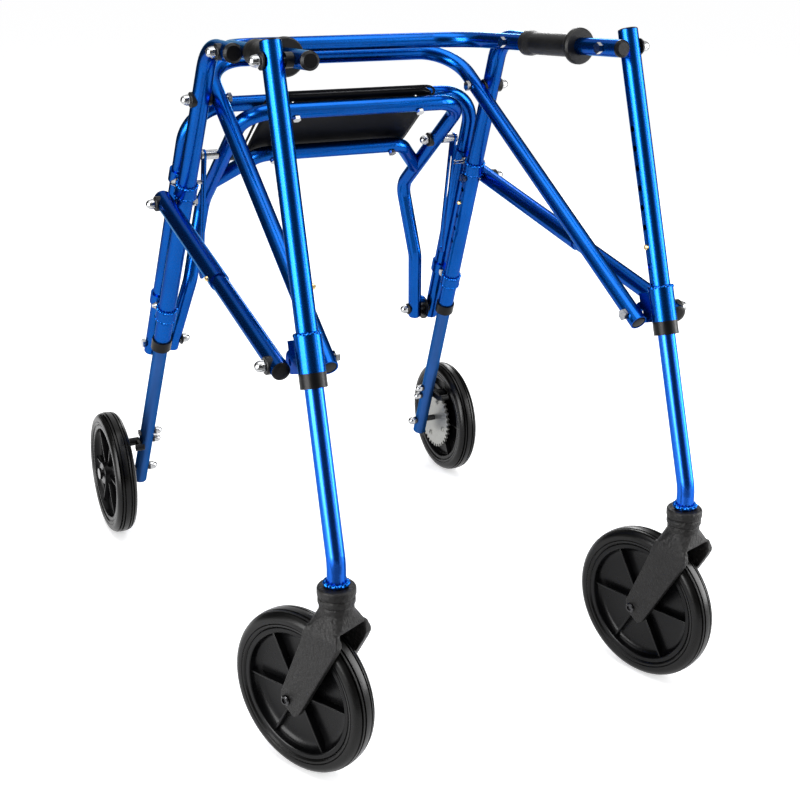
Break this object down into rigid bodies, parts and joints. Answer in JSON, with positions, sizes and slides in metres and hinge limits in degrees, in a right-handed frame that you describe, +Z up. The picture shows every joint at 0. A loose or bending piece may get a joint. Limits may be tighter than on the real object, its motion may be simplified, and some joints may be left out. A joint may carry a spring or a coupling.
{
  "type": "posterior walker",
  "caption": "Folding posterior walking frame of bent blue tube with handgrips, swivelling front casters, ratchet rear wheels and a flip-down seat.",
  "frame": {"origin": "centre of the footprint on the floor", "axes": "+X towards the user's left side, +Y towards the rear, +Z up; the open front faces -Y"},
  "size_m": [0.6584, 0.9203, 0.8373],
  "materials": {
    "black_plastic": "black, fine grain",
    "black_rubber": "black, matt",
    "black_steel": "black oxide",
    "blue_tube": "blue anodised, glossy",
    "brass": "plain",
    "chrome": "bright plated",
    "satin_tube": "blue anodised, satin",
    "tyre": "black, matt",
    "zinc": "zinc plated"
  },
  "bodies": {
    "frame": {"rear_leg_left": "blue_tube", "rear_leg_right": "blue_tube", "back_hoop": "blue_tube", "hoop_clamps": "blue_tube", "clamp_bolts": "chrome", "pivot_bolts": "chrome", "rear_bushes": "black_plastic"},
    "handle": {"handle_hoop": "blue_tube", "handgrip_left": "black_rubber", "handgrip_right": "black_rubber", "handle_plugs": "black_plastic", "handle_bolts": "chrome"},
    "brace": {"brace_hoop": "blue_tube", "brace_plugs": "black_plastic", "brace_bolts": "chrome"},
    "seat": {"seat_frame": "blue_tube", "seat_panel": "black_plastic", "seat_bolts": "chrome", "seat_clips": "black_plastic"},
    "front_leg_left": {"front_leg_left": "blue_tube", "front_bracket_left": "blue_tube", "front_bush_left": "black_plastic"},
    "front_leg_right": {"front_leg_right": "blue_tube", "front_bracket_right": "blue_tube", "front_bush_right": "black_plastic"},
    "front_post_left": {"front_post_left": "blue_tube", "front_button_left": "brass"},
    "front_post_right": {"front_post_right": "blue_tube", "front_button_right": "brass"},
    "caster_left": {"caster_fork_left": "black_plastic", "caster_axle_left": "black_steel"},
    "caster_right": {"caster_fork_right": "black_plastic", "caster_axle_right": "black_steel"},
    "caster_wheel_left": {"caster_rim_left": "black_plastic", "caster_tyre_left": "tyre"},
    "caster_wheel_right": {"caster_rim_right": "black_plastic", "caster_tyre_right": "tyre"},
    "side_brace_left": {"side_brace_left": "blue_tube"},
    "side_brace_right": {"side_brace_right": "blue_tube"},
    "side_slide_left": {"side_slide_left": "blue_tube", "side_nut_left": "chrome"},
    "side_slide_right": {"side_slide_right": "blue_tube", "side_nut_right": "chrome"},
    "rear_post_left": {"rear_post_left": "satin_tube", "rear_button_left": "brass", "rear_axle_left": "chrome"},
    "rear_post_right": {"rear_post_right": "satin_tube", "rear_button_right": "brass", "rear_axle_right": "chrome"},
    "rear_wheel_left": {"rear_rim_left": "black_plastic", "rear_tyre_left": "tyre", "ratchet_gear_left": "zinc"},
    "rear_wheel_right": {"rear_rim_right": "black_plastic", "rear_tyre_right": "tyre", "ratchet_gear_right": "zinc"},
    "pawl_left": {"ratchet_pawl_left": "black_plastic"},
    "pawl_right": {"ratchet_pawl_right": "black_plastic"},
    "stay_left": {"seat_stay_left": "blue_tube"},
    "stay_right": {"seat_stay_right": "blue_tube"}
  },
  "joints": [
    {"name": "frame_fold", "type": "hinge", "parent": "frame", "child": "handle", "pos_m": [0, -0.024, 0.8047], "axis": [1, 0, 0], "range_deg": [0, 72]},
    {"name": "brace_fold", "type": "hinge", "parent": "frame", "child": "brace", "pos_m": [0, 0.08, 0.733], "axis": [1, 0, 0], "range_deg": [0, 46.39]},
    {"name": "front_leg_left", "type": "hinge", "parent": "handle", "child": "front_leg_left", "pos_m": [0.24, -0.24135, 0.81348], "axis": [1, 0, 0], "range_deg": [-44.45, 0]},
    {"name": "side_brace_left", "type": "hinge", "parent": "frame", "child": "side_brace_left", "pos_m": [0.25968, 0.14749, 0.58156], "axis": [1, 0, 0], "range_deg": [0, 50.45]},
    {"name": "side_brace_slide_left", "type": "slide", "parent": "side_brace_left", "child": "side_slide_left", "axis": [-0.0239, 0.9791, 0.202], "range_m": [0, 0.12743]},
    {"name": "front_height_left", "type": "slide", "parent": "front_leg_left", "child": "front_post_left", "axis": [0, 0.3024, 0.9532], "range_m": [-0.05, 0.15], "deforming": ["front_button_left"]},
    {"name": "caster_swivel_left", "type": "hinge", "parent": "front_post_left", "child": "caster_left", "pos_m": [0.24, -0.41121, 0.0002], "axis": [0, 0, 1], "continuous": true},
    {"name": "caster_spin_left", "type": "hinge", "parent": "caster_left", "child": "caster_wheel_left", "pos_m": [0.22514, -0.36138, 0.1], "axis": [0.9583, 0.2857, 0], "continuous": true},
    {"name": "rear_height_left", "type": "slide", "parent": "frame", "child": "rear_post_left", "axis": [-0.0499, -0.4065, 0.9123], "range_m": [-0.075, 0.025], "deforming": ["rear_button_left"]},
    {"name": "rear_spin_left", "type": "hinge", "parent": "rear_post_left", "child": "rear_wheel_left", "pos_m": [0.30571, 0.36287, 0.09825], "axis": [1, 0, 0], "continuous": true},
    {"name": "ratchet_pawl_left", "type": "hinge", "parent": "rear_post_left", "child": "pawl_left", "pos_m": [0.25562, 0.33767, 0.15481], "axis": [-1, 0, 0], "range_deg": [0, 12]},
    {"name": "front_leg_right", "type": "hinge", "parent": "handle", "child": "front_leg_right", "pos_m": [-0.24, -0.24135, 0.81348], "axis": [1, 0, 0], "range_deg": [-44.45, 0]},
    {"name": "side_brace_right", "type": "hinge", "parent": "frame", "child": "side_brace_right", "pos_m": [-0.25968, 0.14749, 0.58156], "axis": [1, 0, 0], "range_deg": [0, 50.45]},
    {"name": "side_brace_slide_right", "type": "slide", "parent": "side_brace_right", "child": "side_slide_right", "axis": [0.0239, 0.9791, 0.202], "range_m": [0, 0.12743]},
    {"name": "front_height_right", "type": "slide", "parent": "front_leg_right", "child": "front_post_right", "axis": [0, 0.3024, 0.9532], "range_m": [-0.05, 0.15], "deforming": ["front_button_right"]},
    {"name": "caster_swivel_right", "type": "hinge", "parent": "front_post_right", "child": "caster_right", "pos_m": [-0.24, -0.41121, 0.0002], "axis": [0, 0, 1], "continuous": true},
    {"name": "caster_spin_right", "type": "hinge", "parent": "caster_right", "child": "caster_wheel_right", "pos_m": [-0.26263, -0.3644, 0.1], "axis": [0.9003, 0.4352, 0], "continuous": true},
    {"name": "rear_height_right", "type": "slide", "parent": "frame", "child": "rear_post_right", "axis": [0.0499, -0.4065, 0.9123], "range_m": [-0.075, 0.025], "deforming": ["rear_button_right"]},
    {"name": "rear_spin_right", "type": "hinge", "parent": "rear_post_right", "child": "rear_wheel_right", "pos_m": [-0.30571, 0.36287, 0.09825], "axis": [1, 0, 0], "continuous": true},
    {"name": "ratchet_pawl_right", "type": "hinge", "parent": "rear_post_right", "child": "pawl_right", "pos_m": [-0.25562, 0.33767, 0.15481], "axis": [-1, 0, 0], "range_deg": [0, 12]},
    {"name": "seat_swing", "type": "hinge", "parent": "frame", "child": "seat", "pos_m": [0, 0.30338, 0.33], "axis": [-1, 0, 0], "range_deg": [-33, 0]},
    {"name": "seat_stay_left", "type": "hinge", "parent": "seat", "child": "stay_left", "pos_m": [0.1985, 0.15091, 0.64543], "axis": [-1, 0, 0], "range_deg": [-78.23, 0]},
    {"name": "seat_stay_right", "type": "hinge", "parent": "seat", "child": "stay_right", "pos_m": [-0.1985, 0.15091, 0.64543], "axis": [-1, 0, 0], "range_deg": [-78.23, 0]}
  ],
  "couplings": [
    {"joint": "brace_fold", "follows": "frame_fold", "ratio": 0.64424},
    {"joint": "front_leg_left", "follows": "frame_fold", "ratio": -0.6173},
    {"joint": "side_brace_left", "follows": "frame_fold", "ratio": 0.70068},
    {"joint": "side_brace_slide_left", "follows": "frame_fold", "m_per_rad": 0.1014},
    {"joint": "front_leg_right", "follows": "frame_fold", "ratio": -0.6173},
    {"joint": "side_brace_right", "follows": "frame_fold", "ratio": 0.70068},
    {"joint": "side_brace_slide_right", "follows": "frame_fold", "m_per_rad": 0.1014}
  ]
}
